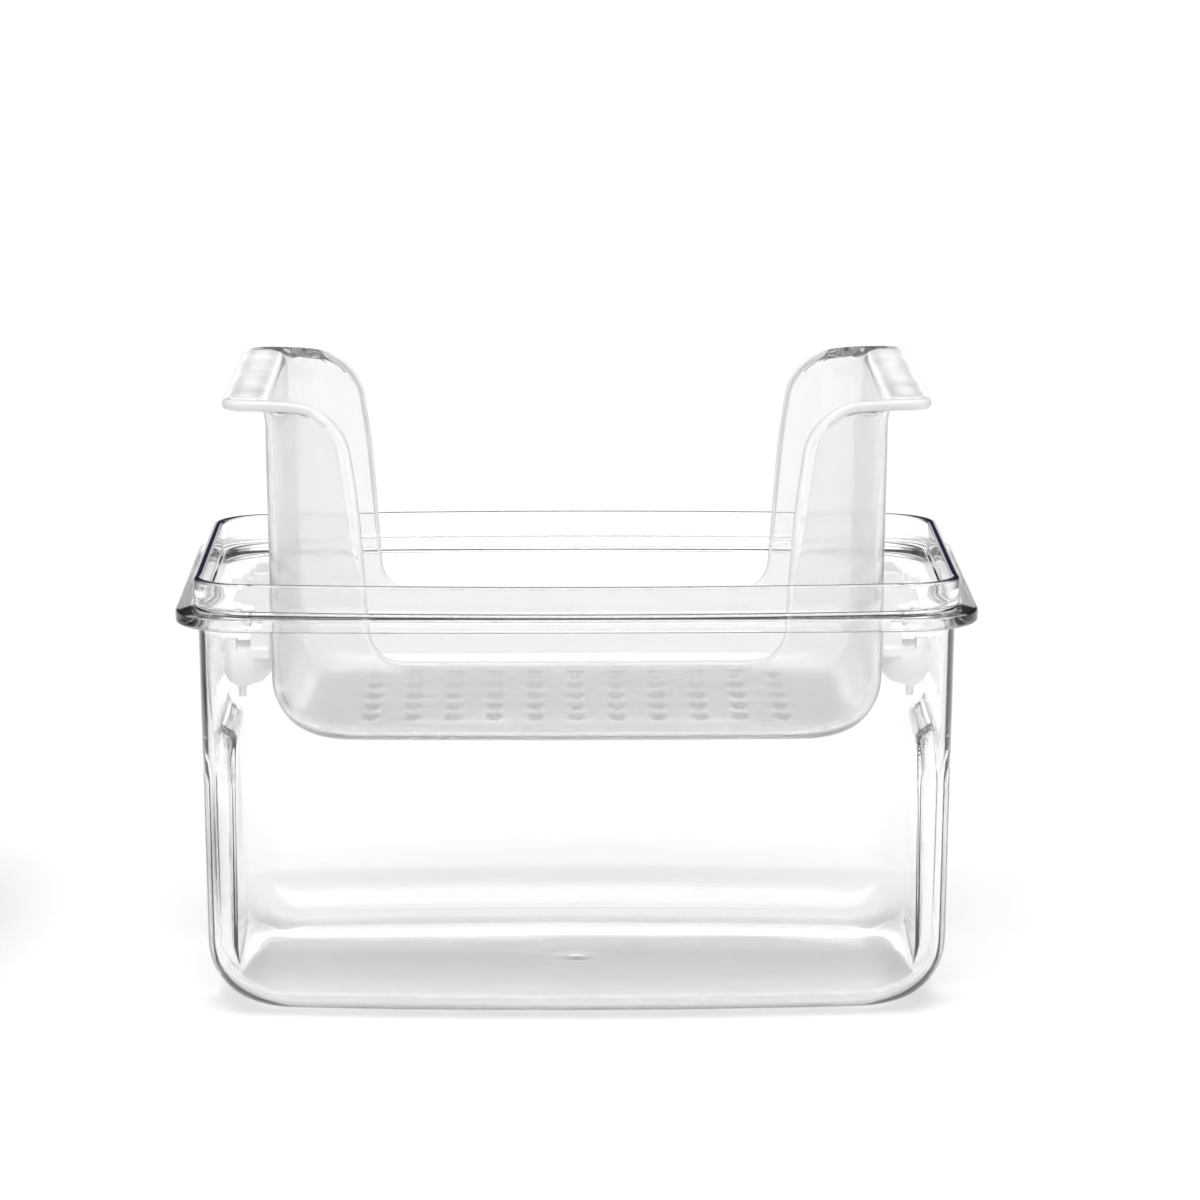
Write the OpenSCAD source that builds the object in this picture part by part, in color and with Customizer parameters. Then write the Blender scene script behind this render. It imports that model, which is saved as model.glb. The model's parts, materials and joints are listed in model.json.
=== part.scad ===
/* [Container] */
// Length of the container's collar, outside
collar_l = 184; // [160:1:210]
// Width of the container's collar at mid-length, outside
collar_w = 112; // [100:1:130]
// Height of the container
container_h = 107.6; // [95:0.1:125]
// Wall thickness of the container
wall = 2.4; // [1.8:0.1:3]
// Radius of the container's upright corners
corner_r = 13; // [10:0.5:18]
// Radius of the arc along the long sides
side_arc_r = 700; // [500:10:1500]
// Radius of the arc along the flange's long sides
flange_arc_r = 2500; // [700:50:4000]
// Radius of the container's bottom edge
bottom_r = 17; // [12:0.5:20]
// Height of the collar above the flange
collar_h = 7.1; // [5:0.1:10]
// Thickness of the flange
flange_t = 3; // [2:0.1:4]
// How far the flange stands out of the collar
flange_out = 4.1; // [2:0.1:6]
// Depth of the finger recess in each end wall
recess_d = 4.8; // [3:0.1:6]
// Width of the finger recess
recess_w = 54; // [40:1:60]
// Height of the finger recess's top edge
recess_top = 64; // [50:1:66]

/* [Tray] */
// Length of the tray at its floor, outside
tray_l = 146.8; // [130:0.1:147]
// Width of the tray at mid-length, outside
tray_w = 97; // [80:0.5:98]
// Height of the tray up to the top of its handle lips
tray_h = 83; // [70:0.5:95]
// Wall thickness of the tray
tray_wall = 1.9; // [1.4:0.1:2.4]
// Height of the tray's floor above the table in the lifted pose
tray_rest_z = 68.4; // [60:0.1:80]
// Height of the cut-out's edge above the tray's underside
cut_z = 20; // [14:0.5:30]
// Half-length of the cut-out at its lower edge
cut_half = 50; // [40:0.5:52]
// How far the handle lips stand out from the tray's end walls
lip_out = 9.6; // [8:0.1:12]

/* [Press unit] */
// Distance from the plate's underside to the cover's seat, springs relaxed
press_reach = 56; // [50:1:60]
// Travel of the cover on its springs
press_travel = 25; // [10:1:26]
// Length of the press plate
plate_l = 134; // [110:1:136]
// Width of the press plate
plate_w = 84; // [70:1:86]
// Radius of the guide posts
post_r = 4; // [3:0.1:4.5]
// Distance of each guide post from the middle
post_x = 36; // [30:1:42]
// Number of turns of each press spring
spring_turns = 8; // [6:1:9]
// Where the press unit stands, to the left of the container
park_x = -226; // [-260:1:-215]

/* [Hidden] */

H = container_h;
flange_top = H - collar_h;
flange_bot = flange_top - flange_t;
hx = collar_l / 2;
hy = collar_w / 2;
floor_t = 2.8;
inner_bottom_r = bottom_r - wall;

// Outline of a box whose long sides are flat arcs that run smoothly into round corners.
// x, y: half-length and half-width at mid-length; r: corner radius; rs: radius of the long sides.
function corner_c(x, y, r, rs) = [x - r, y - rs + sqrt(pow(rs - r, 2) - pow(x - r, 2))];
function corner_a(x, y, r, rs) = atan2(corner_c(x, y, r, rs)[1] - (y - rs), x - r);
function quarter(x, y, r, rs, na, ns) =
  let (c = corner_c(x, y, r, rs), a = corner_a(x, y, r, rs))
  concat(
    [for (i = [0 : na - 1]) [c[0] + r * cos(a * i / na), c[1] + r * sin(a * i / na)]],
    [for (i = [0 : ns - 1]) let (t = a + (90 - a) * i / ns) [rs * cos(t), y - rs + rs * sin(t)]]);
function outline(x, y, r, rs, na = 6, ns = 5) =
  let (q = quarter(x, y, r, rs, na, ns), n = len(q))
  concat(q,
    [[0, y]], [for (i = [n - 1 : -1 : 0]) [-q[i][0], q[i][1]]],
    [for (i = [0 : n - 1]) [-q[i][0], -q[i][1]]],
    [[0, -y]], [for (i = [n - 1 : -1 : 0]) [q[i][0], -q[i][1]]]);

// Skin through rings of points, closed at both ends.
module loft(rings) {
  n = len(rings[0]);
  m = len(rings);
  pts = [for (r = rings) for (p = r) p];
  sides = [for (k = [0 : m - 2]) for (i = [0 : n - 1])
    let (a = k * n + i, b = k * n + (i + 1) % n, c = a + n, d = b + n) each [[a, c, b], [b, c, d]]];
  polyhedron(points = pts, faces = concat([[for (i = [0 : n - 1]) i]],
    [[for (i = [n - 1 : -1 : 0]) (m - 1) * n + i]], sides));
}
function ring(x, y, r, rs, z) = [for (p = outline(x, y, r, rs)) [p[0], p[1], z]];

module slab(x, y, r, rs, z0, z1) {
  translate([0, 0, z0]) linear_extrude(z1 - z0) polygon(outline(x, y, r, rs));
}
module band(x, y, r, rs, t, z0, z1) {
  translate([0, 0, z0]) linear_extrude(z1 - z0) difference() {
    polygon(outline(x, y, r, rs));
    polygon(outline(x - t, y - t, r - t, rs - t));
  }
}
module coloured_clear() { color([0.93, 0.94, 0.95, 0.35]) children(); }
module coloured_frost() { color([0.92, 0.91, 0.89, 0.6]) children(); }
module coloured_white() { color([0.95, 0.95, 0.94]) children(); }

// ---- container ----
// Half-sizes of the body's outside at height z, above the bottom edge's curve.
body_in_top = 0.8;
body_in_low = 2.1;
function body_in(z) = body_in_low + (body_in_top - body_in_low) * (z - bottom_r) / (flange_bot - bottom_r);
// Inset of a quarter-round edge of radius r at height z.
function edge_in(r, z) = z >= r ? 0 : r - sqrt(max(0, r * r - (r - z) * (r - z)));
function body_ring(z) = let (i = edge_in(bottom_r, z), k = body_in(max(z, bottom_r)))
  ring(hx - k - i, hy - k - i, max(6, 17 - i * 0.65), side_arc_r, z);
function inner_ring(z) = let (i = edge_in(inner_bottom_r, z - floor_t), k = body_in(max(z, bottom_r)) + wall)
  ring(hx - k - i, hy - k - i, max(5, 15 - i * 0.65), side_arc_r - wall, z);
fillet_steps = [0, 15, 30, 45, 60, 75, 90];

module recess_pair(x0, grow) {
  w = recess_w / 2 + grow;
  top = recess_top + grow;
  r = 12 + grow;
  for (turn = [0, 180]) rotate(turn) translate([x0, 0, 0]) rotate([90, 0, 90]) linear_extrude(30)
    polygon(concat(
      [[-w, -5], [w, -5]],
      [for (a = [0 : 15 : 90]) [w - r + r * cos(a), top - r + r * sin(a)]],
      [for (a = [90 : 15 : 180]) [-w + r + r * cos(a), top - r + r * sin(a)]]));
}

module container() coloured_clear() {
  recess_x = hx - body_in(35) - recess_d;
  difference() {
    union() {
      difference() {
        loft(concat([for (a = fillet_steps) body_ring(bottom_r * (1 - cos(a)))],
          [body_ring(60), body_ring(flange_bot + 0.5)]));
        recess_pair(recess_x, 0);
      }
      slab(hx + flange_out, hy + flange_out, corner_r + flange_out, flange_arc_r, flange_bot, flange_top);
      slab(hx, hy, corner_r, side_arc_r, flange_top - 0.5, H);
    }
    difference() {
      loft(concat([for (a = fillet_steps) inner_ring(floor_t + inner_bottom_r * (1 - cos(a)))],
        [inner_ring(60), inner_ring(flange_top + 0.4)]));
      recess_pair(recess_x - wall, wall);
    }
    slab(hx - 2.2, hy - 2.2, corner_r - 2.2, side_arc_r - 2.2, flange_top, H + 1);
  }
}

// ---- catches ----
// A white moulding on the inside of each end wall: a round bowl with a small foot, a tongue over it, and a stepped
// rest on which the tray's lip sits.
catch_in = 75.3;
catch_mid = 82;
wall_lean = atan((body_in_low - body_in_top) / (flange_bot - bottom_r));
module catch_half() difference() {
  union() {
    // round bowl and tongue, cut off where the tray slides past
    intersection() {
      union() {
        difference() {
          translate([catch_mid, 0, 80.6]) sphere(r = 7.6, $fn = 64);
          translate([catch_in - 5, -10, 83.2]) cube([13.8, 20, 10]);
          translate([catch_in - 5, -10, 86.4]) cube([30, 20, 10]);
        }
        translate([catch_mid - 5.8, 0, 81.4]) cylinder(h = 2.5, r = 8, $fn = 48);
      }
      translate([catch_in, -10, 70]) cube([20, 20, 20]);
    }
    // foot under the bowl
    translate([catch_mid, 0, 70.4]) cylinder(h = 4, r = 1.35, $fn = 24);
    // pad that meets the wall
    translate([catch_mid, -5, 78.4]) cube([10, 10, 4]);
    // stepped rest
    translate([catch_in, -7, 82]) cube([4.1, 14, 20.6]);
    translate([catch_in, -7, 93]) cube([5.6, 14, 8.3]);
    translate([catch_in, -7, 94]) cube([7.2, 14, 6]);
    translate([catch_in, -7, 95]) cube([10.2, 14, 3.8]);
  }
  // the leaning inner face of the end wall
  translate([hx - body_in_low - wall, -30, bottom_r]) rotate([0, wall_lean, 0]) cube([20, 60, 120]);
}
module catch_right() coloured_white() catch_half();
module catch_left() coloured_white() rotate(180) catch_half();

// ---- tray ----
tz = tray_rest_z;
tray_top = tz + tray_h;
tray_floor = 2;
tray_foot_r = 14;
tray_grow = 1.2;
function tray_add(z) = tray_grow * (z - tray_foot_r) / (tray_h - tray_foot_r);
tray_side_r = 5;
tray_arc = side_arc_r * 2;
// z counts from the tray's underside; t is the inset of the inner face, f the floor's height.
function tray_ring(z, t, f) =
  let (g = tray_add(max(z, tray_foot_r)), ix = edge_in(tray_foot_r - t, z - f), iy = edge_in(tray_side_r - t, z - f))
  ring(tray_l / 2 + g - t - ix, tray_w / 2 + g - t - iy, 12 - t - 0.3 * ix, tray_arc, tz + z);

module tray_body() {
  difference() {
    loft(concat([for (a = fillet_steps) tray_ring(tray_foot_r * (1 - cos(a)), 0, 0)], [tray_ring(tray_h, 0, 0)]));
    loft(concat(
      [for (a = fillet_steps) tray_ring(tray_floor + (tray_foot_r - tray_wall) * (1 - cos(a)), tray_wall, tray_floor)],
      [tray_ring(tray_h + 1, tray_wall, tray_floor)]));
  }
}
// The cut-out seen from the front, in millimetres from the tray's middle and underside.
function cut_side(s) = concat(
  [for (a = [270 : 15 : 345]) [s * (cut_half - 8.5 + 8 * cos(a)), cut_z + 8 + 8 * sin(a)]],
  [[s * (cut_half + 0.8), cut_z + 20], [s * (cut_half + 2.3), cut_z + 38]],
  [for (a = [180 : -15 : 90]) [s * (cut_half + 18 + 14.4 * cos(a)), tray_h - 15.1 + 14.4 * sin(a)]],
  [[s * (cut_half + 21), tray_h - 0.5], [s * (cut_half + 24), tray_h + 0.2], [s * (cut_half + 24), tray_h + 30]]);
function reversed(v) = [for (i = [len(v) - 1 : -1 : 0]) v[i]];
module cut_shape() {
  polygon(concat(cut_side(1), reversed(cut_side(-1))));
}
lip_x = tray_l / 2 + tray_grow + lip_out;
module tray_lips() {
  x0 = tray_l / 2 + tray_grow;
  top = tz + tray_h;
  difference() {
    slab(lip_x, tray_w / 2 + tray_grow, 5, tray_arc, top - 2.4, top);
    slab(x0 - tray_wall, tray_w / 2 + tray_grow - tray_wall, 12 - tray_wall, tray_arc, tz, top + 1);
    translate([-60, -100, tz]) cube([120, 200, 200]);
  }
  // the curve under the lip, left open where the catch's rest comes up
  for (s = [0, 180], y = [36, -9]) rotate(s) translate([0, y, 0]) rotate([90, 0, 0]) linear_extrude(27) polygon(concat(
    [[x0 - 1, top - 8], [x0, top - 5.7]],
    [for (a = [180 : -15 : 90]) [x0 + 3.2 + 3.2 * cos(a), top - 5.6 + 3.2 * sin(a)]],
    [[x0 + 3.2, top - 2], [x0 - 1, top - 2]]));
}
module tray() coloured_frost() {
  difference() {
    union() {
      tray_body();
      tray_lips();
    }
    // front and back cut-outs in one pass
    translate([0, 80, tz]) rotate([90, 0, 0]) linear_extrude(160) cut_shape();
    // drain slots
    for (i = [-5 : 5], j = [-2 : 2]) translate([i * 10, j * 13, tz - 1]) {
      translate([-1.1, -3.5, 0]) cube([2.2, 7, 5]);
    }
  }
}

// ---- press unit ----
// Drawn with its length along X and turned to lie beside the container.
module parked() translate([park_x, 0, 0]) rotate(90) children();
seat = press_reach;
cover_t = 3;
skirt = collar_h - 0.6;
hub_h = 11;
bush_r = 7;
post_top = seat + hub_h + 1.7;

module hub_outline(d) {
  polygon(outline(58 - d, 27 - d, 20 - d, 300 - d));
}
module press_cover_solid() {
  difference() {
    union() {
      slab(hx + flange_out, hy + flange_out, corner_r + flange_out, flange_arc_r, seat, seat + cover_t);
      band(hx + flange_out, hy + flange_out, corner_r + flange_out, flange_arc_r, flange_out - 0.6, seat - skirt, seat);
      translate([0, 0, seat + cover_t - 0.01]) linear_extrude(hub_h - cover_t) hub_outline(0);
      // ears for the latch pins
      for (s = [0, 180], y = [-24, 20]) rotate(s) translate([hx + flange_out - 2, y, seat - 1.2]) cube([9.2, 4, 7.2]);
    }
    translate([0, 0, seat - 1]) linear_extrude(hub_h - cover_t + 1) hub_outline(3);
    for (s = [-1, 1]) translate([s * post_x, 0, seat]) cylinder(h = 30, r = bush_r, $fn = 48);
    for (s = [-1, 1]) translate([s * pin_x, -40, pin_z]) rotate([-90, 0, 0]) cylinder(h = 80, r = 1.5, $fn = 32);
  }
}
module press_cover() coloured_white() parked() press_cover_solid();
module cover_seal() color([0.82, 0.84, 0.85]) parked()
  band(hx - 0.1, hy - 0.1, corner_r - 0.1, side_arc_r - 0.1, 2.2, seat - 1.4, seat);
module grip_pad() color([0.35, 0.37, 0.38]) parked() difference() {
  translate([0, 0, seat + hub_h]) linear_extrude(1.6) hub_outline(3);
  for (s = [-1, 1]) translate([s * post_x, 0, seat]) cylinder(h = 30, r = 11, $fn = 48);
}

plate_t = 3;
boss_h = 7;
module press_plate() coloured_frost() parked() difference() {
  union() {
    slab(plate_l / 2, plate_w / 2, 12, side_arc_r * 2, 0, plate_t);
    band(plate_l / 2, plate_w / 2, 12, side_arc_r * 2, 1.8, plate_t - 0.5, plate_t + 3);
    for (s = [-1, 1]) translate([s * post_x, 0, plate_t - 0.5]) cylinder(h = boss_h + 0.5, r = 11.5, $fn = 48);
    for (y = [-1, 1]) translate([-plate_l / 2 + 1.5, y * 16 - 0.9, plate_t - 0.5]) cube([plate_l - 3, 1.8, 3]);
  }
  for (s = [-1, 1]) translate([s * post_x, 0, 2.4]) cylinder(h = 30, r = post_r, $fn = 48);
  for (s = [-1, 1]) translate([s * post_x, 0, -1]) cylinder(h = 10, r = 2.1, $fn = 32);
  for (s = [-1, 1]) translate([s * post_x, 0, 0.2]) cylinder(h = 1.7, r1 = 4.3, r2 = 2.1, $fn = 32);
  for (s = [-1, 1]) translate([s * post_x, 0, -1]) cylinder(h = 1.2, r = 4.3, $fn = 32);
  for (i = [-4 : 4], y = [-32, -8, 8, 32]) if (abs(i) != 2 || abs(y) > 10)
    if (abs(abs(i * 13) - post_x) > 14 || abs(y) > 14) translate([i * 13, y, -1]) cylinder(h = 6, r = 1.8, $fn = 20);
}

module post(s) difference() {
  translate([s * post_x, 0, 2.4]) cylinder(h = post_top - 2.4, r = post_r, $fn = 48);
  translate([s * post_x, 0, 2.3]) cylinder(h = 8, r = 2.1, $fn = 32);
  translate([s * post_x, 0, post_top - 8]) cylinder(h = 9, r = 1.9, $fn = 32);
}
module guide_post_left() color([0.75, 0.76, 0.78]) parked() post(-1);
module guide_post_right() color([0.75, 0.76, 0.78]) parked() post(1);

module bush(s) translate([s * post_x, 0, 0]) difference() {
  union() {
    translate([0, 0, seat - 2]) cylinder(h = hub_h + 2, r = bush_r, $fn = 48);
    translate([0, 0, seat + hub_h]) cylinder(h = 1.4, r = bush_r + 2, $fn = 48);
  }
  translate([0, 0, seat - 3]) cylinder(h = 40, r = post_r + 0.06, $fn = 48);
}
module guide_bush_left() color([0.2, 0.21, 0.22]) parked() bush(-1);
module guide_bush_right() color([0.2, 0.21, 0.22]) parked() bush(1);

// A round wire wound into a coil with closed ends.
spring_r = 9;
wire_r = 0.8;
spring_z0 = plate_t + boss_h + 0.9;
spring_z1 = seat + hub_h - cover_t - 0.9;
coil_per_turn = 16;
function coil_n() = spring_turns * coil_per_turn;
function coil_rise(t) = let (u = min(max((t * spring_turns - 0.9) / (spring_turns - 1.8), 0), 1))
  min(t * spring_turns, 0.9) * 1.7 + max(t * spring_turns - (spring_turns - 0.9), 0) * 1.7
  + u * (spring_z1 - spring_z0 - 2 * 0.9 * 1.7);
function coil_pt(t, b) = let (a = 360 * spring_turns * t)
  [(spring_r + wire_r * cos(b)) * cos(a), (spring_r + wire_r * cos(b)) * sin(a), spring_z0 + coil_rise(t) + wire_r * sin(b)];
module coil(s) translate([s * post_x, 0, 0])
  loft([for (k = [0 : coil_n()]) [for (j = [0 : 5]) coil_pt(k / coil_n(), -j * 60)]]);
module press_spring_left() color([0.72, 0.73, 0.75]) parked() coil(-1);
module press_spring_right() color([0.72, 0.73, 0.75]) parked() coil(1);

module stop_screw(s) translate([s * post_x, 0, 0]) difference() {
  union() {
    translate([0, 0, post_top - 8]) cylinder(h = 8, r = 1.9, $fn = 32);
    translate([0, 0, post_top]) cylinder(h = 2.2, r = 6.2, $fn = 48);
  }
  translate([0, 0, post_top + 1]) cylinder(h = 2, r = 2, $fn = 6);
}
module stop_screw_left() color([0.75, 0.76, 0.78]) parked() stop_screw(-1);
module stop_screw_right() color([0.75, 0.76, 0.78]) parked() stop_screw(1);
module plate_screws() color([0.75, 0.76, 0.78]) parked() for (s = [-1, 1]) translate([s * post_x, 0, 0]) {
  difference() {
    union() {
      translate([0, 0, 1.9]) cylinder(h = 7, r = 2.1, $fn = 32);
      translate([0, 0, 0.2]) cylinder(h = 1.7, r1 = 4.3, r2 = 2.1, $fn = 32);
    }
    translate([0, 0, 0]) cylinder(h = 1.2, r = 1.3, $fn = 6);
  }
}

// A clip that hangs from the cover's end and hooks under the container's flange.
pin_x = hx + flange_out + 3.6;
pin_z = seat + 2.4;
hook_z = seat - collar_h - flange_t - 0.3;
module latch() difference() {
  union() {
    translate([pin_x, -19.6, pin_z]) rotate([-90, 0, 0]) cylinder(h = 39.2, r = 3.2, $fn = 40);
    translate([pin_x - 0.4, -19.6, hook_z - 3]) cube([2.6, 39.2, pin_z - hook_z + 3]);
    // hook
    translate([0, 19.6, 0]) rotate([90, 0, 0]) linear_extrude(39.2) polygon([
      [pin_x - 0.3, hook_z - 3], [pin_x - 0.3, hook_z], [hx + 0.6, hook_z], [hx + 0.6, hook_z - 0.8], [pin_x - 1.4, hook_z - 3]]);
    // finger tab
    translate([0, 14, 0]) rotate([90, 0, 0]) linear_extrude(28) polygon([
      [pin_x, hook_z - 3], [pin_x + 2.2, hook_z + 1], [pin_x + 7, hook_z - 5], [pin_x + 6, hook_z - 6.6], [pin_x + 4.6, hook_z - 6.4], [pin_x + 0.6, hook_z - 3]]);
  }
  translate([pin_x, -40, pin_z]) rotate([-90, 0, 0]) cylinder(h = 80, r = 1.56, $fn = 32);
}
module latch_pin() translate([pin_x, -24, pin_z]) rotate([-90, 0, 0]) cylinder(h = 48, r = 1.5, $fn = 32);
module latch_right() coloured_white() parked() latch();
module latch_left() coloured_white() parked() rotate(180) latch();
module latch_pin_right() color([0.75, 0.76, 0.78]) parked() latch_pin();
module latch_pin_left() color([0.75, 0.76, 0.78]) parked() rotate(180) latch_pin();

container();
tray();
catch_left();
catch_right();
press_cover();
cover_seal();
grip_pad();
press_plate();
guide_post_left();
guide_post_right();
guide_bush_left();
guide_bush_right();
press_spring_left();
press_spring_right();
stop_screw_left();
stop_screw_right();
plate_screws();
latch_left();
latch_right();
latch_pin_left();
latch_pin_right();
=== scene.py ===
import json
import math

import bmesh
import bpy
import numpy as np
from mathutils import Matrix, Vector


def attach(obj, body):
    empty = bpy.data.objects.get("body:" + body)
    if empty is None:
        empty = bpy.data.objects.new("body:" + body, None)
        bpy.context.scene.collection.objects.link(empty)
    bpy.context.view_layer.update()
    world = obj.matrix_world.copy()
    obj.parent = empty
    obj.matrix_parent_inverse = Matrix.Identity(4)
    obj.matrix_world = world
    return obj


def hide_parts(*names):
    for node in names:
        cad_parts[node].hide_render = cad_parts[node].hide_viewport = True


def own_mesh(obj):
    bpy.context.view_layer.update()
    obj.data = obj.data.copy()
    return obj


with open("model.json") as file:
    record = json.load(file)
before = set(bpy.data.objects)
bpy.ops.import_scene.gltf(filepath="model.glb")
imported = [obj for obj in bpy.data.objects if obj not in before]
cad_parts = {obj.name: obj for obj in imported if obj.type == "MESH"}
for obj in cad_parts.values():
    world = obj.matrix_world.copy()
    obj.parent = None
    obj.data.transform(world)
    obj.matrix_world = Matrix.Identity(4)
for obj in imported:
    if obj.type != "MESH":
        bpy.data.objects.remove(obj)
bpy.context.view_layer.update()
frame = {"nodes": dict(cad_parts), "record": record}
scene = bpy.context.scene


# ------------------------------------------------------------------ camera
def camera():
    pitch, yaw = 0.182852, 0.009855
    fw = Vector((math.sin(yaw) * math.cos(pitch), math.cos(yaw) * math.cos(pitch), -math.sin(pitch)))
    rt = Vector((math.cos(yaw), -math.sin(yaw), 0))
    up = rt.cross(fw)
    data = bpy.data.cameras.new("camera")
    data.sensor_fit = "HORIZONTAL"
    data.sensor_width = 36
    data.lens = 153.0
    data.clip_start, data.clip_end = 0.05, 30
    cam = bpy.data.objects.new("camera", data)
    scene.collection.objects.link(cam)
    cam.matrix_world = Matrix((
        (rt.x, up.x, -fw.x, -0.0063125),
        (rt.y, up.y, -fw.y, -1.242401),
        (rt.z, up.z, -fw.z, 0.324112),
        (0, 0, 0, 1)))
    scene.camera = cam


camera()


# ------------------------------------------------------------------ materials
def new_material(name):
    m = bpy.data.materials.new(name)
    m.use_nodes = True
    nt = m.node_tree
    nt.nodes.clear()
    out = nt.nodes.new("ShaderNodeOutputMaterial")
    bsdf = nt.nodes.new("ShaderNodeBsdfPrincipled")
    nt.links.new(bsdf.outputs[0], out.inputs["Surface"])
    return m, nt, bsdf


def noise(nt, scale, detail=3.0, rough=0.5, stretch=None):
    tc = nt.nodes.new("ShaderNodeTexCoord")
    n = nt.nodes.new("ShaderNodeTexNoise")
    n.inputs["Scale"].default_value = scale
    n.inputs["Detail"].default_value = detail
    n.inputs["Roughness"].default_value = rough
    if stretch:
        mp = nt.nodes.new("ShaderNodeMapping")
        mp.inputs["Scale"].default_value = stretch
        nt.links.new(tc.outputs["Object"], mp.inputs["Vector"])
        nt.links.new(mp.outputs["Vector"], n.inputs["Vector"])
    else:
        nt.links.new(tc.outputs["Object"], n.inputs["Vector"])
    return n.outputs["Fac"]


def to_range(nt, value, lo, hi, from_lo=0.35, from_hi=0.65):
    r = nt.nodes.new("ShaderNodeMapRange")
    r.inputs["From Min"].default_value = from_lo
    r.inputs["From Max"].default_value = from_hi
    r.inputs["To Min"].default_value = lo
    r.inputs["To Max"].default_value = hi
    nt.links.new(value, r.inputs["Value"])
    return r.outputs["Result"]


def bump(nt, bsdf, value, distance, strength=1.0):
    b = nt.nodes.new("ShaderNodeBump")
    b.inputs["Distance"].default_value = distance
    b.inputs["Strength"].default_value = strength
    nt.links.new(value, b.inputs["Height"])
    nt.links.new(b.outputs["Normal"], bsdf.inputs["Normal"])


def two_colour_mix(nt, bsdf, value, a, b):
    mix = nt.nodes.new("ShaderNodeMix")
    mix.data_type = "RGBA"
    mix.inputs["A"].default_value = (*a, 1)
    mix.inputs["B"].default_value = (*b, 1)
    nt.links.new(value, mix.inputs["Factor"])
    nt.links.new(mix.outputs["Result"], bsdf.inputs["Base Color"])


def clear_plastic():
    m, nt, p = new_material("clear_plastic")
    p.inputs["Base Color"].default_value = (0.984, 0.985, 0.988, 1)
    p.inputs["Transmission Weight"].default_value = 1.0
    p.inputs["IOR"].default_value = 1.50
    nt.links.new(to_range(nt, noise(nt, 60, 2), 0.0, 0.03), p.inputs["Roughness"])
    # the slow ripple of a moulded wall
    bump(nt, p, noise(nt, 22, 1.0, 0.4), 0.00012)
    return m


def grazing(nt, start, end):
    """0 face on, 1 edge on."""
    lw = nt.nodes.new("ShaderNodeLayerWeight")
    lw.inputs["Blend"].default_value = 0.5
    r = nt.nodes.new("ShaderNodeMapRange")
    r.interpolation_type = "SMOOTHSTEP"
    r.inputs["From Min"].default_value = start
    r.inputs["From Max"].default_value = end
    nt.links.new(lw.outputs["Facing"], r.inputs["Value"])
    return r.outputs["Result"]


def clear_with_painted_edge_shade(name, start, end, painted_edge_shade_color, level):
    """The same clear plastic with painted edge shade: its colour turns dark where the surface turns edge on, and its
    specular level sets how much reflection stays on that dark band.
    """
    m, nt, p = new_material(name)
    p.inputs["Transmission Weight"].default_value = 1.0
    p.inputs["IOR"].default_value = 1.50
    p.inputs["Specular IOR Level"].default_value = level
    p.inputs["Roughness"].default_value = 0.01
    # painted shade: the base colour darkens as the surface turns edge on
    two_colour_mix(nt, p, grazing(nt, start, end), (0.984, 0.985, 0.988), painted_edge_shade_color)
    return m


def frosted_plastic():
    m, nt, p = new_material("frosted_plastic")
    p.inputs["Transmission Weight"].default_value = 0.9
    p.inputs["IOR"].default_value = 1.47
    # painted shade: the base colour turns grey as the surface turns edge on, a painted dark outline
    two_colour_mix(nt, p, grazing(nt, 0.86, 1.0), (0.942, 0.935, 0.928), (0.60, 0.60, 0.62))
    nt.links.new(to_range(nt, noise(nt, 90, 3), 0.07, 0.13), p.inputs["Roughness"])
    bump(nt, p, noise(nt, 26, 1.5, 0.4), 0.00012)
    return m


def frosted_rim():
    """Thick edges of the same plastic look whiter, because light scatters on its way along them."""
    m, nt, p = new_material("frosted_rim")
    p.inputs["Transmission Weight"].default_value = 0.3
    p.inputs["IOR"].default_value = 1.47
    two_colour_mix(nt, p, to_range(nt, noise(nt, 60, 3), 0, 1), (0.955, 0.95, 0.945), (0.97, 0.966, 0.962))
    nt.links.new(to_range(nt, noise(nt, 90, 3), 0.12, 0.2), p.inputs["Roughness"])
    return m


def white_plastic():
    m, nt, p = new_material("white_plastic")
    two_colour_mix(nt, p, to_range(nt, noise(nt, 120, 3), 0, 1), (0.93, 0.925, 0.915), (0.955, 0.95, 0.945))
    p.inputs["Transmission Weight"].default_value = 0.1
    p.inputs["IOR"].default_value = 1.45
    nt.links.new(to_range(nt, noise(nt, 400, 3), 0.3, 0.42), p.inputs["Roughness"])
    bump(nt, p, noise(nt, 500, 3), 0.00002)
    return m


def cover_plastic():
    m, nt, p = new_material("cover_plastic")
    two_colour_mix(nt, p, to_range(nt, noise(nt, 40, 4), 0, 1), (0.73, 0.73, 0.722), (0.77, 0.77, 0.762))
    nt.links.new(to_range(nt, noise(nt, 900, 3), 0.38, 0.52), p.inputs["Roughness"])
    bump(nt, p, noise(nt, 2600, 2), 0.00003)
    return m


def rubber(name, a, b):
    m, nt, p = new_material(name)
    two_colour_mix(nt, p, to_range(nt, noise(nt, 80, 4), 0, 1), a, b)
    nt.links.new(to_range(nt, noise(nt, 700, 3), 0.6, 0.8), p.inputs["Roughness"])
    bump(nt, p, noise(nt, 1800, 3), 0.00005)
    return m


def steel():
    m, nt, p = new_material("steel")
    p.inputs["Metallic"].default_value = 1.0
    two_colour_mix(nt, p, to_range(nt, noise(nt, 60, 3), 0, 1), (0.62, 0.62, 0.63), (0.72, 0.72, 0.73))
    grain = noise(nt, 300, 3, 0.5, (1, 1, 14))
    nt.links.new(to_range(nt, grain, 0.18, 0.34), p.inputs["Roughness"])
    bump(nt, p, grain, 0.00001)
    return m


def bush_plastic():
    m, nt, p = new_material("bush_plastic")
    two_colour_mix(nt, p, to_range(nt, noise(nt, 150, 3), 0, 1), (0.03, 0.032, 0.034), (0.05, 0.052, 0.055))
    nt.links.new(to_range(nt, noise(nt, 800, 3), 0.35, 0.5), p.inputs["Roughness"])
    bump(nt, p, noise(nt, 1500, 2), 0.00002)
    return m


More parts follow.
